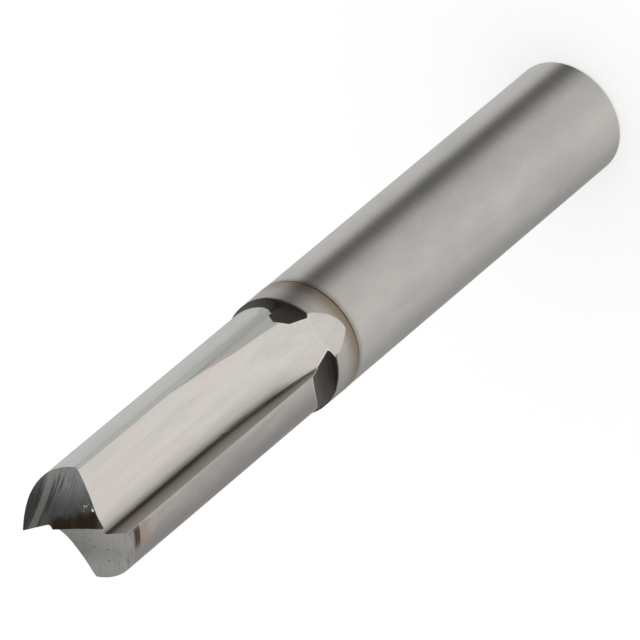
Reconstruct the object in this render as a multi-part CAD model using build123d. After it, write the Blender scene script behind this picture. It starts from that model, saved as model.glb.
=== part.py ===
"""Straight two-flute plunge router bit, ground from one piece of high speed steel.

The bit stands on the end of its shank: the origin is the centre of that end face, +Z runs up
the axis to the cutting end, and one cutting corner lies on +X.  Seen from the cutting end it
turns counter-clockwise.  Everything behind the blank is the path of a grinding wheel, and
each wheel is used twice, half a turn apart.  Millimetres and degrees.
"""
from build123d import *
import os
from math import cos, radians, sin, sqrt, tan

# Overall sizes
length = 43.2               # shank end to the cutting corners
shank_d = 6.0               # gripped by a 6 mm collet
cutting_d = 6.0             # circle that the two cutting edges turn on
shank_length = 23.8         # shank end to the hairline that parts shank and neck
neck_length = 1.75          # plain tapered band in front of that hairline
neck_d = 6.03               # neck is left a hair over the shank at the hairline
neck_front_d = 6.0          # and eases down to this at its front
shank_chamfer = 0.18        # 45 degree break on the end of the shank
neck_chamfer = 0.06         # break on the front edge of the neck

# Hairline where the grinding of the shank stops
hairline_width = 0.08
hairline_depth = 0.05

# Relief of the lands: an arc that starts at the cutting edge, then a step down to a flat
land_r = 2.95
land_relief_angle = 2.64    # at the cutting edge
land_flat_depth = 0.234     # how far the flat lies inside the arc
heel_step = 0.457           # foot of the step, from the plane square to the cutting edges
heel_step_angle = -154.0    # direction the step faces, from +X
land_wheel_edge_r = 0.5     # rounded edge of the wheel, left against the neck
corner_bevel_height = 0.65  # bevel of each cutting corner, measured along the axis
corner_bevel_angle = 4.0

# Narrow wheel that clears both ends of each land beside the neck, in two straight passes
clearing_floor = 1.0        # width of the pass at full depth, from the neck
clearing_flank = 67.0       # tilt of its far side from the axis' normal
clearing_edge_r = 0.12
edge_pass_angle = -8.5      # pass behind the cutting edge: direction it faces from +X
edge_pass_offset = 2.575    # and its distance from the axis
heel_pass_angle = -113.2    # the same for the pass behind the heel
heel_pass_offset = 2.643

# Flute wheel: its flat side leaves the rake face, its rim the back of the other tooth
rake_angle = 8.5
back_offset = 1.13          # distance of the flute's back from the axis
back_angle = 15.5           # direction the back faces, from +X
nose_width = 0.866          # bevelled nose of the rim, from the rake face to the back
nose_angle = 34.0
nose_blend_r = 2.0          # nose to back
valley_r = 0.22             # rounded edge between nose and flat side
flute_wheel_r = 27.0
flute_full_length = 8.9     # cut at full depth from the cutting corners, then runs out

# End wheel: hollow-grinds one end lip and the face behind it
end_wheel_r = 7.5
end_relief_angle = 24.4     # slope of the end face at the middle
end_wheel_turn = -8.9       # of the wheel's axis from +X, seen from the cutting end
end_dish_angle = 1.5        # rise of the wheel's axis towards the corner

clear = 2.0                 # how far a wheel's path reaches past the steel

# Worked out from the sizes above
neck_top = shank_length + neck_length
cut_r = cutting_d / 2
land_x = cut_r - land_r * cos(radians(land_relief_angle))
land_y = land_r * sin(radians(land_relief_angle))
land_flat_y = land_y - land_r + land_flat_depth
end_reach = end_wheel_r * sin(radians(end_relief_angle))
end_lift = end_wheel_r * cos(radians(end_relief_angle))


def both_teeth(tool):
    """A wheel's path and the same path half a turn round the axis."""
    return tool + Rot(0, 0, 180) * tool


def facing(angle):
    """Unit vector square to the axis, at an angle from +X."""
    return Vector(cos(radians(angle)), sin(radians(angle)))


def blank():
    """Turned blank: chamfered shank, neck and cutting part, long enough to be ground to length."""
    on_end = (Align.CENTER, Align.CENTER, Align.MIN)
    shank = Cylinder(shank_d / 2, shank_length, align=on_end)
    shank = chamfer(shank.edges().sort_by(Axis.Z)[0], shank_chamfer)
    neck = Cone(neck_d / 2, neck_front_d / 2, neck_length, align=on_end)
    neck = chamfer(neck.edges().sort_by(Axis.Z)[-1], neck_chamfer)
    cutter = Cylinder(cut_r, length - neck_top + clear, align=on_end)
    return shank + Pos(0, 0, shank_length) * neck + Pos(0, 0, neck_top) * cutter


def hairline():
    """V groove round the joint of shank and neck."""
    floor_r = shank_d / 2 - hairline_depth
    reach = 2 * hairline_depth + neck_d / 2 - shank_d / 2
    half = hairline_width / 2 * reach / hairline_depth
    outline = Polyline(
        (floor_r, 0, shank_length),
        (floor_r + reach, 0, shank_length - half),
        (floor_r + reach, 0, shank_length + half),
        close=True,
    )
    return revolve(make_face(outline), Axis.Z)


def point_on_land(angle):
    """Point of the land's arc at an angle about the arc's own centre."""
    return Vector(land_x, land_y) + facing(angle) * land_r


def land_wheel():
    """Everything outside the relieved land, from the cutting edge round past the heel."""
    far = cut_r + clear
    flat_x = land_x - sqrt(land_r**2 - (land_flat_y - land_y) ** 2)
    edge = point_on_land(-land_relief_angle)
    runoff = Vector(flat_x, land_flat_y)
    arc = ThreePointArc(edge, point_on_land(-50), runoff)
    rest = Polyline(runoff, (-far, land_flat_y), (-far, -far), (far, -far), (far, 0), edge)
    path = extrude(make_face([arc, rest]), length - neck_top + 2 * clear)
    foot = path.edges().group_by(Axis.Z)[0].sort_by_distance((0, 0, 0))[0:2]
    return Pos(0, 0, neck_top) * fillet(foot, land_wheel_edge_r)


def heel_step_wheel():
    """Step at the heel, from the land down to the flat, which shows where the flute runs out."""
    far = cut_r + clear
    foot = Vector(-heel_step, land_flat_y)
    down = facing(heel_step_angle + 90)
    outline = Polyline(foot, (-far, land_flat_y), (-far, -far), foot + down * far, close=True)
    return Pos(0, 0, neck_top) * extrude(make_face(outline), length - neck_top + 2 * clear)


def clearing_pass(angle, offset):
    """Straight pass of the narrow wheel beside the neck, square to a direction from the axis."""
    out = cut_r + clear
    top = neck_top + clearing_floor + (out - offset) * tan(radians(clearing_flank))
    foot = (offset, 0, neck_top)
    outline = Polyline(
        foot, (offset, 0, neck_top + clearing_floor), (out, 0, top), (out, 0, neck_top), close=True
    )
    face = make_face(outline)
    face = fillet(face.vertices().sort_by_distance(foot)[0], clearing_edge_r)
    return Rot(0, 0, angle) * extrude(face, cut_r, dir=(0, 1, 0), both=True)


def corner_bevel():
    """Outside of a steep cone about the land's own centre, which bevels the cutting corner."""
    foot = length - corner_bevel_height
    height = corner_bevel_height + clear
    on_end = (Align.CENTER, Align.CENTER, Align.MIN)
    top_r = land_r - height * tan(radians(corner_bevel_angle))
    cone = Pos(land_x, land_y, 0) * Cone(land_r, top_r, height, align=on_end)
    far = cut_r + clear
    block = Box(far, far, height, align=(Align.MIN, Align.MAX, Align.MIN))
    return Pos(0, 0, foot) * (block - cone)


def flute_wheel():
    """Path of the flute wheel: straight along the cutting part, then out along its own rim."""
    out = facing(rake_angle)
    along = facing(rake_angle + 90)
    back = facing(back_angle)
    up_back = facing(back_angle + 90)
    up_nose = facing(nose_angle + 90)
    edge = Vector(cut_r, 0)
    far = 2 * cut_r + clear
    # Corners of the rim: the nose starts where its other end comes out on the back's line
    depth = (edge.dot(back) + nose_width * up_nose.dot(back) - back_offset) / out.dot(back)
    valley = edge - out * depth
    brow = valley + up_nose * nose_width
    outline = Polyline(
        valley, edge + out * clear, edge + out * clear + along * far,
        brow + up_back * far, brow, close=True,
    )
    face = make_face(outline)
    face = fillet(face.vertices().sort_by_distance(valley)[0], valley_r)
    face = fillet(face.vertices().sort_by_distance(brow)[0], nose_blend_r)
    start = length - flute_full_length
    face = Pos(0, 0, start) * face
    straight = extrude(face, flute_full_length + clear, dir=(0, 0, 1))
    centre = out * (valley.dot(out) + flute_wheel_r)
    axle = Axis((centre.X, centre.Y, start), (-along.X, -along.Y, 0))
    return straight + revolve(face, axle, 35)


def end_wheel():
    """Hollow grind of one tooth's end, from its lip and the middle back to its heel."""
    wheel = Cylinder(end_wheel_r, 8 * cut_r, rotation=(0, 90, 0))
    wheel = Pos(0, -end_reach, end_lift) * Rot(0, -end_dish_angle, 0) * wheel
    wheel = Rot(0, 0, end_wheel_turn) * wheel
    far = 4 * cut_r
    own_side = Box(far, far, far, align=(Align.CENTER, Align.MAX, Align.CENTER))
    return wheel & own_side


def middle_height():
    """Height of the middle of the end, so that the cutting corners come to the full length."""
    bevel = corner_bevel_height * tan(radians(corner_bevel_angle))
    corner = Vector(cut_r, 0) - facing(rake_angle) * bevel
    along = corner.dot(facing(end_wheel_turn))
    across = corner.dot(facing(end_wheel_turn + 90))
    hollow = end_lift - sqrt(end_wheel_r**2 - (across + end_reach) ** 2)
    return length - hollow - along * sin(radians(end_dish_angle))


def router_bit():
    """The finished bit."""
    bit = blank() - hairline()
    bit -= both_teeth(land_wheel())
    bit -= both_teeth(heel_step_wheel())
    bit -= both_teeth(clearing_pass(edge_pass_angle, edge_pass_offset))
    bit -= both_teeth(clearing_pass(heel_pass_angle, heel_pass_offset))
    bit -= both_teeth(corner_bevel())
    bit -= both_teeth(flute_wheel())
    bit -= Pos(0, 0, middle_height()) * both_teeth(end_wheel())
    return bit


os.makedirs("parts", exist_ok=True)
bit = router_bit()
export_step(bit, "parts/router_bit.step")
box = bit.bounding_box()
print("router_bit", len(bit.solids()), "solid", round(bit.volume, 2), "mm3", box.min, box.max)
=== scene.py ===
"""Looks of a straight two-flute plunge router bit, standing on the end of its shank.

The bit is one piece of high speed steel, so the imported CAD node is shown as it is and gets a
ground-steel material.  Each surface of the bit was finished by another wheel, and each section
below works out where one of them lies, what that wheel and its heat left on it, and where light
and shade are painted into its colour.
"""
import math

import bpy
from mathutils import Matrix, Vector

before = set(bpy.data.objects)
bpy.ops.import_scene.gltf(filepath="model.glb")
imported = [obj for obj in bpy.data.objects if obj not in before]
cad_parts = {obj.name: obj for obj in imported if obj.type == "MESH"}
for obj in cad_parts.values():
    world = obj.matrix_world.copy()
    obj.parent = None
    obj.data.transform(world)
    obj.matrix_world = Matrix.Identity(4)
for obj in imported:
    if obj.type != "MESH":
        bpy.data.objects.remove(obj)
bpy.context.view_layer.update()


# ---------------------------------------------------------------------------------------------
# The steel itself.  Hardened high speed steel, a warm light grey where a fine wheel has left it
# and a little cloudy, because the hardened bar is never quite even.

steel = bpy.data.materials.new("ground_high_speed_steel")
steel.use_nodes = True
steel.node_tree.nodes.clear()


class Reading:
    """A value at each point of the surface: a socket of a node tree, with arithmetic on it."""

    tree = steel.node_tree

    def __init__(self, socket):
        self.socket = socket

    @classmethod
    def node(cls, kind, settings, inputs, output=0):
        """Adds a node: its settings first, then the values or links of its sockets."""
        made = cls.tree.nodes.new("ShaderNode" + kind)
        for name, value in settings.items():
            if name == "stops":
                for _ in value[2:]:
                    made.color_ramp.elements.new(0.5)
                for stop, (spot, tone) in zip(made.color_ramp.elements, value):
                    stop.position, stop.color = spot, (*tone, 1)
            else:
                setattr(made, name, value)
        for name, value in inputs.items():
            if isinstance(value, Reading):
                cls.tree.links.new(value.socket, made.inputs[name])
            else:
                made.inputs[name].default_value = value
        return cls(made.outputs[output]) if made.outputs else None

    def math(self, operation, *others):
        """The result of a Math node on the reading and the others, in that order."""
        return self.node("Math", {"operation": operation}, dict(enumerate((self, *others))))

    def __add__(self, other):
        return self.math("ADD", other)

    def __sub__(self, other):
        return self.math("SUBTRACT", other)

    def __mul__(self, other):
        return self.math("MULTIPLY", other)

    def __truediv__(self, other):
        return self.math("DIVIDE", other)

    def __rsub__(self, other):
        return self.node("Math", {"operation": "SUBTRACT"}, {0: other, 1: self})

    __radd__ = __add__
    __rmul__ = __mul__

    def __abs__(self):
        return self.math("ABSOLUTE")

    def at_least(self, other):
        return self.math("MAXIMUM", other)

    def at_most(self, other):
        return self.math("MINIMUM", other)

    def fade(self, start, end):
        """Goes smoothly from 0 at start to 1 at end; start may be the larger."""
        inputs = {"Value": self, "From Min": min(start, end), "From Max": max(start, end)}
        risen = self.node("MapRange", {"interpolation_type": "SMOOTHSTEP"}, inputs)
        return risen if start < end else 1 - risen

    def within(self, low, high, soft):
        """1 between low and high, fading to 0 over a soft margin outside them."""
        return self.fade(low - soft, low) * self.fade(high + soft, high)

    def stretch(self, by_x, by_y, by_z):
        """A vector reading scaled by its own amount on each axis."""
        inputs = {0: self, 1: (by_x, by_y, by_z)}
        return self.node("VectorMath", {"operation": "MULTIPLY"}, inputs)

    def toward(self, angle):
        """Distance along a direction square to the bit's axis, at an angle from +X."""
        turn = math.radians(angle)
        inputs = {0: self, 1: (math.cos(turn), math.sin(turn), 0)}
        return self.node("VectorMath", {"operation": "DOT_PRODUCT"}, inputs, 1)

    def grain(self, detail=2.0, rough=0.5):
        """Noise between 0 and 1 at the scale of a vector reading."""
        inputs = {"Vector": self, "Scale": 1.0, "Detail": detail, "Roughness": rough}
        return self.node("TexNoise", {}, inputs)

    def tint(self, under, over):
        """Colour that goes from under to over as the reading goes from 0 to 1."""
        colours = {}
        for slot, tone in ((6, under), (7, over)):
            colours[slot] = tone if isinstance(tone, Reading) else (*tone, 1)
        settings = {"data_type": "RGBA", "clamp_factor": True}
        return self.node("Mix", settings, {0: self, **colours}, 2)


place = Reading.node("TexCoord", {}, {}, "Object").stretch(1000, 1000, 1000)    # millimetres
x = place.toward(0)
y = place.toward(90)
z = Reading.node("SeparateXYZ", {}, {0: place}, 2)

cloud = place.stretch(0.55, 0.55, 0.25).grain(3.0, 0.6).fade(0.32, 0.68)
patchy = place.stretch(0.9, 0.9, 1.5).grain(3.0, 0.55)
colour = cloud.tint((0.46, 0.445, 0.42), (0.515, 0.497, 0.47))


# ---------------------------------------------------------------------------------------------
# Shank and neck.  Both are ground round between the wheel and a rest, which leaves fine marks
# round them.  The neck stood beside the hot relief wheel and took a brown temper colour from it,
# strongest by the hairline at its foot and on the side where the wheel dwelt.

neck_foot = 23.8
neck_top = 25.55
hair = 0.02                 # a place this close to a wheel's path still belongs to that wheel
dwell_side = 45             # direction in which the relief wheel dwelt, in degrees from +X
temper_reach = 1.2          # how far up the neck the temper colour runs
temper_brown = (0.23, 0.185, 0.135)

on_shank = z.fade(neck_top + hair, neck_top)
shank_marks = place.stretch(0.2, 0.2, 26).grain(3.0, 0.6)
coarse_marks = place.stretch(0.1, 0.1, 5).grain(2.0, 0.5)

radius = (x * x + y * y).math("SQRT")
dwelt = place.toward(dwell_side) / radius
temper = z.fade(neck_foot - 0.45, neck_foot) * z.fade(neck_foot + temper_reach, neck_foot + 0.05)
temper = temper * dwelt.fade(-1.0, 0.85) * patchy.fade(0.05, 0.45)
on_neck = z.within(neck_foot, neck_top, 0.04)
colour = (on_neck * 0.18 + temper * 0.82).tint(colour, temper_brown)


# ---------------------------------------------------------------------------------------------
# Where each wheel went.  A wheel leaves its surface just inside its own path, so a place belongs
# to a wheel when it lies less than a hair outside that path.  The flute wheel runs along the bit
# and out along its own rim, and a place in the flute is measured as if the flute went straight on.

rake_side = 8.5             # direction in which the first rake face runs out, as dwell_side is
flute_wheel_r = 27.0
valley_out = 1.47           # distance of the valley from the axis, in the plane of the rake face
run_out = 34.3              # height at which the flute wheel starts to leave the bit
outward = place.toward(rake_side)
across_flute = outward.math("SIGN") * place.toward(rake_side + 90)
rising = (run_out - z).at_least(0.0)
to_axle = valley_out + flute_wheel_r - abs(outward)
depth = valley_out + flute_wheel_r - (to_axle * to_axle + rising * rising).math("SQRT")


def past_flat(lean, offset):
    """How far a place is past a flat of the flute whose normal leans away from the depth:
    depth times cos(lean), plus across times sin(lean), less the flat's own offset."""
    turn = math.radians(lean)
    return depth * math.cos(turn) + across_flute * math.sin(turn) - offset


rake_below = 0.443          # how far the rake face lies below the axis
from_rake = across_flute + rake_below
from_back = past_flat(lean=7.0, offset=1.13)
from_nose = past_flat(lean=25.5, offset=1.136)
on_flute = from_rake.at_most(from_back).at_most(from_nose).fade(-2 * hair, -hair)

# A narrow wheel clears the foot of each land in two straight passes, one by its cutting edge and
# one by its heel.
edge_pass_side = -8.5       # directions square to the two floors, as dwell_side is
heel_pass_side = -113.2
floor_width = 1.0
wall_lean = 67              # slope of the wall at the far side of a floor, in degrees
climb = (z - neck_top - floor_width).at_least(0.0) / math.tan(math.radians(wall_lean))


def straight_pass(off_axis, floor_at):
    """1 where a straight pass cut: beyond its floor, which climbs at its far side into a wall,
    and above the neck."""
    return (off_axis - climb - floor_at).at_most(z - neck_top).fade(-2 * hair, -hair)


off_edge = abs(place.toward(edge_pass_side))
edge_pass = straight_pass(off_edge, floor_at=2.575)
heel_pass = straight_pass(abs(place.toward(heel_pass_side)), floor_at=2.643)

end_foot = 38               # the end faces lie above this height
normal = Reading.node("NewGeometry", {}, {}, "Normal")
facing_up = Reading.node("SeparateXYZ", {}, {0: normal}, 2)
on_body = z.fade(neck_top - 2 * hair, neck_top - hair)
on_end = facing_up.fade(0.45, 0.6) * z.fade(end_foot, end_foot + 0.5)
on_land = on_body * (1 - on_end) * (1 - on_flute)
on_flute = on_flute * (1 - on_end)


# ---------------------------------------------------------------------------------------------
# Lands.  The relief wheel leaves them a cooler grey; one of them ran hotter and is pinkish, and it
# is painted darker away from its cutting edge as shade.  The heel is a narrow dull step behind
# each land, painted a darker grey as the shade along it.

land_cloud = place.stretch(0.9, 0.9, 0.35).grain(3.0, 0.6).fade(0.3, 0.7)
cool = land_cloud.tint((0.5, 0.515, 0.49), (0.55, 0.56, 0.53))
pinkish = land_cloud.tint((0.38, 0.352, 0.332), (0.46, 0.432, 0.408))
# painted shade: the hot land grows darker away from its cutting edge
pinkish = (y.fade(-0.3, -1.9) * 0.8).tint(pinkish, (0.335, 0.31, 0.29))
hot_land = y.fade(0.3, -0.3)
colour = on_land.tint(colour, hot_land.tint(cool, pinkish))

# painted shade: the heel step and the heel pass's floor are painted a darker grey
heel_shade_grey = (0.4, 0.4, 0.375)
past_heel = x * y.math("SIGN")              # x, turned round with each land
heel = on_land * past_heel.fade(0.26, 0.32).at_least(heel_pass)
colour = heel.tint(colour, heel_shade_grey)


# ---------------------------------------------------------------------------------------------
# Beside the neck.  The narrow wheel scorches its floors, the wall that it leaves on the neck and
# a band round the foot of each land; these are painted near black over the scorch as the shade
# beside the neck, black-brown in the floors and greener on the lands.  A bright burr stands where
# the band ends, painted as a highlight.

# painted shade in the recesses beside the neck, darker than their scorch
scorched_and_shaded_floor = (0.025, 0.017, 0.014)
scorched_and_shaded_land = (0.045, 0.043, 0.035)
burr_highlight_white = (0.85, 0.85, 0.82)
band_height = 0.62          # its top sweeps up towards the cutting edge and past the heel
bulge = (off_edge - 1.15).at_least(0.0)
over_band = z - neck_top - band_height - 0.43 * bulge * bulge - 0.22 * past_heel.fade(0.4, 0.75)
shaded_band = on_land * over_band.fade(hair, -hair)
heel_pass = heel_pass * past_heel.fade(0.4, 0.46)
scorched_and_shaded = edge_pass.at_least(heel_pass).at_least(shaded_band)
greener = past_heel.fade(0.4, -0.9) * off_edge.fade(2.6, 2.1)
greener = greener.at_least((1 - heel_pass) * z.fade(neck_top + 0.5, neck_top + 1.5))
colour = scorched_and_shaded.tint(colour, greener.tint(scorched_and_shaded_floor, scorched_and_shaded_land))
# painted highlight: a bright line along the burr where the band ends
burr_highlight = on_land * (1 - scorched_and_shaded) * over_band.fade(0.09, 0.03) * past_heel.fade(0.1, -0.1)
colour = (burr_highlight * patchy.fade(0.35, 0.6) * 0.4).tint(colour, burr_highlight_white)


# ---------------------------------------------------------------------------------------------
# Flutes.  The rim of the flute wheel leaves the bright back, and the wheel's flat side the rake
# face, a darker brownish grey.  A strip along the back's outer edge is painted darker as shade,
# and the valley between back and rake is painted darker still as the shade in that crease.

rake_grey = (0.4, 0.37, 0.34)
edge_shade_grey = (0.4, 0.385, 0.37)
valley_shade_grey = (0.15, 0.14, 0.12)
mark_grey = (0.2, 0.18, 0.16)
flute_cloud = place.stretch(1.3, 1.3, 0.2).grain(3.0, 0.55).fade(0.35, 0.65)
bright = flute_cloud.tint((0.595, 0.572, 0.53), (0.65, 0.617, 0.575))
blush = place.stretch(0.75, 0.75, 0.3).grain(2.0, 0.5).fade(0.5, 0.68)
bright = (blush * 0.65).tint(bright, (0.67, 0.58, 0.55))
greenish = place.stretch(1.1, 1.1, 0.16).grain(2.0, 0.5).fade(0.5, 0.7)
bright = (greenish * 0.6).tint(bright, (0.6, 0.61, 0.56))
colour = on_flute.tint(colour, bright)

strip_from = 2.2            # where the strip begins across the flute near the neck
strip_most = 2.55           # and where it begins towards the end
edge_limit = (strip_from + 0.075 * (z - 30).at_least(0.0)).at_most(strip_most)
# painted shade: a darker strip along the outer edge of the back
edge_shade = on_flute * (across_flute - edge_limit).fade(-hair, 2 * hair)
colour = edge_shade.tint(colour, edge_shade_grey)
on_rake = on_flute * from_rake.fade(0.06, 0.02)
colour = on_rake.tint(colour, rake_grey)

# painted shade in the valley, patchy, and spreading a little onto the back
shade_patches = place.stretch(4, 4, 0.5).grain(2.0, 0.5)
shade_strength = from_rake.fade(0.36, 0.02) * (0.38 + 0.36 * shade_patches) + from_rake.fade(0.8, 0.1) * 0.34
valley_shade = on_flute * depth.fade(2.1, 1.55) * shade_strength * z.fade(26.6, 29.5)
colour = valley_shade.tint(colour, valley_shade_grey)

long_marks = place.stretch(9, 9, 0.1).grain(3.0, 0.6)
lines = place.stretch(12, 12, 0.13).grain(2.0, 0.6)
on_side = (on_land + on_flute) * (1 - scorched_and_shaded)
colour = (on_side * lines.fade(0.55, 0.8) * 0.22).tint(colour, mark_grey)


# ---------------------------------------------------------------------------------------------
# End.  A small wheel hollow-grinds each lip in one plunge, which leaves streaks across it.  The
# plunge burned the thin middle brown on the side that was ground first, and the bevelled corner
# of the other side, with a pinkish halo behind it.

streak_way = 59             # direction in which the streaks run, in degrees from +X
across_streaks = place.toward(streak_way - 90)
streak_spots = {0: across_streaks * 7, 1: place.toward(streak_way) * 0.45, 2: z * 0.5}
streaks = Reading.node("CombineXYZ", {}, streak_spots).grain(3.0, 0.65)
on_first = on_end * y.fade(-hair, hair)
on_second = on_end - on_first

# The second lip is painted brighter outwards as light on it, nearly white at its outer edge, with
# a few dark specks.
dark_streak = (0.2, 0.195, 0.185)
speck_grey = (0.12, 0.12, 0.115)
second_lit_tone = place.toward(-45).fade(-0.8, 2.6).tint((0.41, 0.405, 0.38), (0.64, 0.625, 0.59))
second_lit_tone = y.fade(-1.3, -2.6).tint(second_lit_tone, (0.92, 0.9, 0.86))
colour = on_second.tint(colour, second_lit_tone)
colour = (on_second * streaks.fade(0.5, 0.8) * 0.35).tint(colour, dark_streak)
specks = place.stretch(5, 5, 5).grain(2.0, 0.6).fade(0.6, 0.68)
specks = specks * place.toward(-110).within(0.6, 1.7, 0.3)
colour = (on_second * specks * 0.6).tint(colour, speck_grey)

# The first lip is painted brighter outwards as light on it and darker towards its cutting corner
# as shade, its streaks too, with one pale streak.
dark_streak_grey = (0.16, 0.165, 0.165)
corner_shade_grey = (0.16, 0.165, 0.16)
pale = (0.98, 0.9, 0.86)
from_middle = y - 0.3 * abs(x + 0.2)
first_lit_tone = from_middle.fade(0.5, 2.3).tint((0.52, 0.525, 0.51), (0.98, 0.985, 0.97))
colour = on_first.tint(colour, first_lit_tone)
near_corner = across_streaks.fade(-0.6, -1.4) * y.fade(2.7, 2.1)
dark_streaks = streaks.fade(0.42, 0.62) * (0.25 + 0.5 * near_corner)
colour = (on_first * dark_streaks).tint(colour, dark_streak_grey)
# painted shade towards the cutting corner
corner_shade = across_streaks.fade(-2.3, -2.5)
colour = (on_first * corner_shade * 0.55).tint(colour, corner_shade_grey)
pale_streak = abs(across_streaks + 2.16).fade(0.21, 0.12)
colour = (on_first * pale_streak * 0.9).tint(colour, pale)

# Its middle is burned, with a ragged outline, and painted glints of light, one of them a bright
# sparkle, stand beside the burn.
ragged = place.stretch(2.2, 2.2, 2.2).grain(3.0, 0.6)
burn = (y - 0.1 * x + 0.7 * ragged).fade(1.25, 0.7) * x.within(-1.2, 0.85, 0.5)
reddish = abs(x + 0.25).fade(0.2, 0.05)
burnt = (streaks * 0.8 + reddish * 0.4).tint((0.075, 0.05, 0.025), (0.24, 0.15, 0.09))
colour = (on_first * burn * 0.93).tint(colour, burnt)
glint_highlight_white = (0.9, 0.88, 0.82)
painted_glints = place.stretch(13, 13, 13).grain(1.0, 0.5).fade(0.63, 0.72) * 0.6
painted_glints = painted_glints * x.within(0.25, 0.9, 0.1) * y.within(0.75, 1.0, 0.1)
sparkle_x, sparkle_y = x - 0.84, y - 0.76
painted_sparkle = (sparkle_x * sparkle_x + sparkle_y * sparkle_y).fade(0.004, 0.001)
painted_glints = on_first * painted_glints.at_least(painted_sparkle)
colour = painted_glints.tint(colour, glint_highlight_white)

# The bevelled corner of the second lip has a halo behind it, a burn on it and cleaner steel at
# its top.
halo_pink = (0.37, 0.275, 0.235)
bevel_brown = (0.05, 0.036, 0.022)
bevel_grey = (0.3, 0.29, 0.27)
bevel_foot = 42.22
bevel_top = 42.64
by_bevel = on_land * hot_land * x.fade(1.8, 2.2) * y.fade(-1.6, -0.9)
colour = (by_bevel * z.within(42.0, 43.0, 0.7) * 0.8).tint(colour, halo_pink)
bevel_burn = by_bevel * z.fade(bevel_foot, bevel_foot + 0.12) * y.fade(-1.6, -0.7)
colour = (bevel_burn * 0.95).tint(colour, bevel_brown)
colour = (by_bevel * z.fade(bevel_top, bevel_top + 0.16)).tint(colour, bevel_grey)


# ---------------------------------------------------------------------------------------------
# The finish, put together: marks as relief and as small changes of sheen, and a dull skin where
# the steel is scorched.

mark_depth = 4e-7           # metres
marks = on_shank * (shank_marks * 0.7 + coarse_marks * 0.5)
marks = marks + on_side * long_marks + on_end * streaks
relief = Reading.node("Bump", {}, {"Strength": 1.0, "Distance": mark_depth, "Height": marks})
# the painted glints are also made matt here, so that they show white
dull = scorched_and_shaded.at_least(heel * 0.8).at_least(painted_glints)
rough = 0.22 + 0.1 * marks + 0.45 * dull + 0.08 * on_neck
metal = 1 - dull

shader = Reading.node(
    "BsdfPrincipled",
    {},
    {"Base Color": colour, "Metallic": metal, "Roughness": rough, "Normal": relief},
)
Reading.node("OutputMaterial", {}, {"Surface": shader})
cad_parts["router_bit"].material_slots[0].material = steel


# ---------------------------------------------------------------------------------------------
# Floor.  A sheet of white paper, which keeps the bit's shadow and shows a little whiter to the
# camera than it is.

half = 3.0                  # metres
corners = [(-half, -half, 0), (half, -half, 0), (half, half, 0), (-half, half, 0)]
floor_mesh = bpy.data.meshes.new("floor")
floor_mesh.from_pydata(corners, [], [(0, 1, 2, 3)])
floor = bpy.data.objects.new("floor", floor_mesh)
bpy.context.collection.objects.link(floor)
paper = bpy.data.materials.new("white_paper")
paper.use_nodes = True
Reading.tree = paper.node_tree
Reading.tree.nodes.clear()
matt = Reading.node("BsdfDiffuse", {}, {"Color": (0.96, 0.96, 0.96, 1)})
plain = Reading.node("Emission", {}, {"Color": (1, 1, 1, 1)})
seen = Reading.node("LightPath", {}, {}, "Is Camera Ray") * 0.6
surface = Reading.node("MixShader", {}, {0: seen, 1: matt, 2: plain})
Reading.node("OutputMaterial", {}, {"Surface": surface})
floor_mesh.materials.append(paper)
floor.visible_glossy = False


# ---------------------------------------------------------------------------------------------
# Light.  An even white world and one soft lamp overhead.  What the polished steel looks into is a
# white room with a dark ceiling and two dark panels.

world = bpy.data.worlds.new("studio")
bpy.context.scene.world = world
world.use_nodes = True
Reading.tree = world.node_tree
Reading.tree.nodes.clear()
way = Reading.node("TexCoord", {}, {}, "Generated")
glossy = Reading.node("LightPath", {}, {}, "Is Glossy Ray")
height = Reading.node("SeparateXYZ", {}, {0: way}, 2)
bearing = way.toward(90).math("ARCTAN2", way.toward(0)) * (0.5 / math.pi) + 0.5
walls = [                   # bearing in degrees from +X, and how bright the room is there
    (-180, 0.78), (-165, 0.66), (-150, 0.5), (-118, 0.42), (-96, 0.5), (-82, 0.61), (-68, 0.74),
    (-47, 0.87), (-28, 0.9), (-10, 1.0), (10, 1.0), (28, 0.95), (43, 0.9), (58, 0.86), (66, 0.8),
    (75, 0.7), (83, 0.5), (92, 0.29), (101, 0.17), (110, 0.11), (118, 0.17), (126, 0.5),
    (134, 0.86), (144, 0.89), (160, 0.82), (180, 0.78),
]
stops = [((angle + 180) / 360, (level,) * 3) for angle, level in walls]
wall_light = Reading.node("ValToRGB", {"stops": stops}, {"Fac": bearing})
ceiling = height.fade(0.08, 0.85) * (0.76 + 0.24 * way.toward(90).fade(-0.25, 0.12))
room = wall_light * (1 - 0.9 * ceiling)
light = glossy * room + (1 - glossy)
back = Reading.node("Background", {}, {"Color": (1, 1, 1, 1), "Strength": light})
Reading.node("OutputWorld", {}, {"Surface": back})

lamp_data = bpy.data.lights.new("overhead", "AREA")
lamp_data.shape, lamp_data.size = "DISK", 0.5
lamp_data.energy = 0.6
lamp = bpy.data.objects.new("overhead", lamp_data)
lamp.location = (0.1, 0.25, 0.7)
lamp.rotation_euler = (-lamp.location).to_track_quat("-Z", "Y").to_euler()
lamp.visible_glossy = False
bpy.context.collection.objects.link(lamp)


# ---------------------------------------------------------------------------------------------
# Camera, held over the cutting end and rolled so that the bit points down to the left.

camera_data = bpy.data.cameras.new("camera")
camera_data.lens, camera_data.sensor_width = 575.92, 36
camera_data.clip_start, camera_data.clip_end = 0.01, 20
camera = bpy.data.objects.new("camera", camera_data)
right = Vector((0.8050373, -0.26100626, -0.53272007))
up = Vector((-0.00616217, 0.89428027, -0.44746489))
behind = Vector((0.59319219, 0.36350864, 0.71832061))
stand = Vector((0.28269935, 0.17347066, 0.36463784))
camera.matrix_world = Matrix.Translation(stand) @ Matrix((right, up, behind)).transposed().to_4x4()
bpy.context.collection.objects.link(camera)
bpy.context.scene.camera = camera
bpy.context.scene.view_settings.view_transform = "Standard"
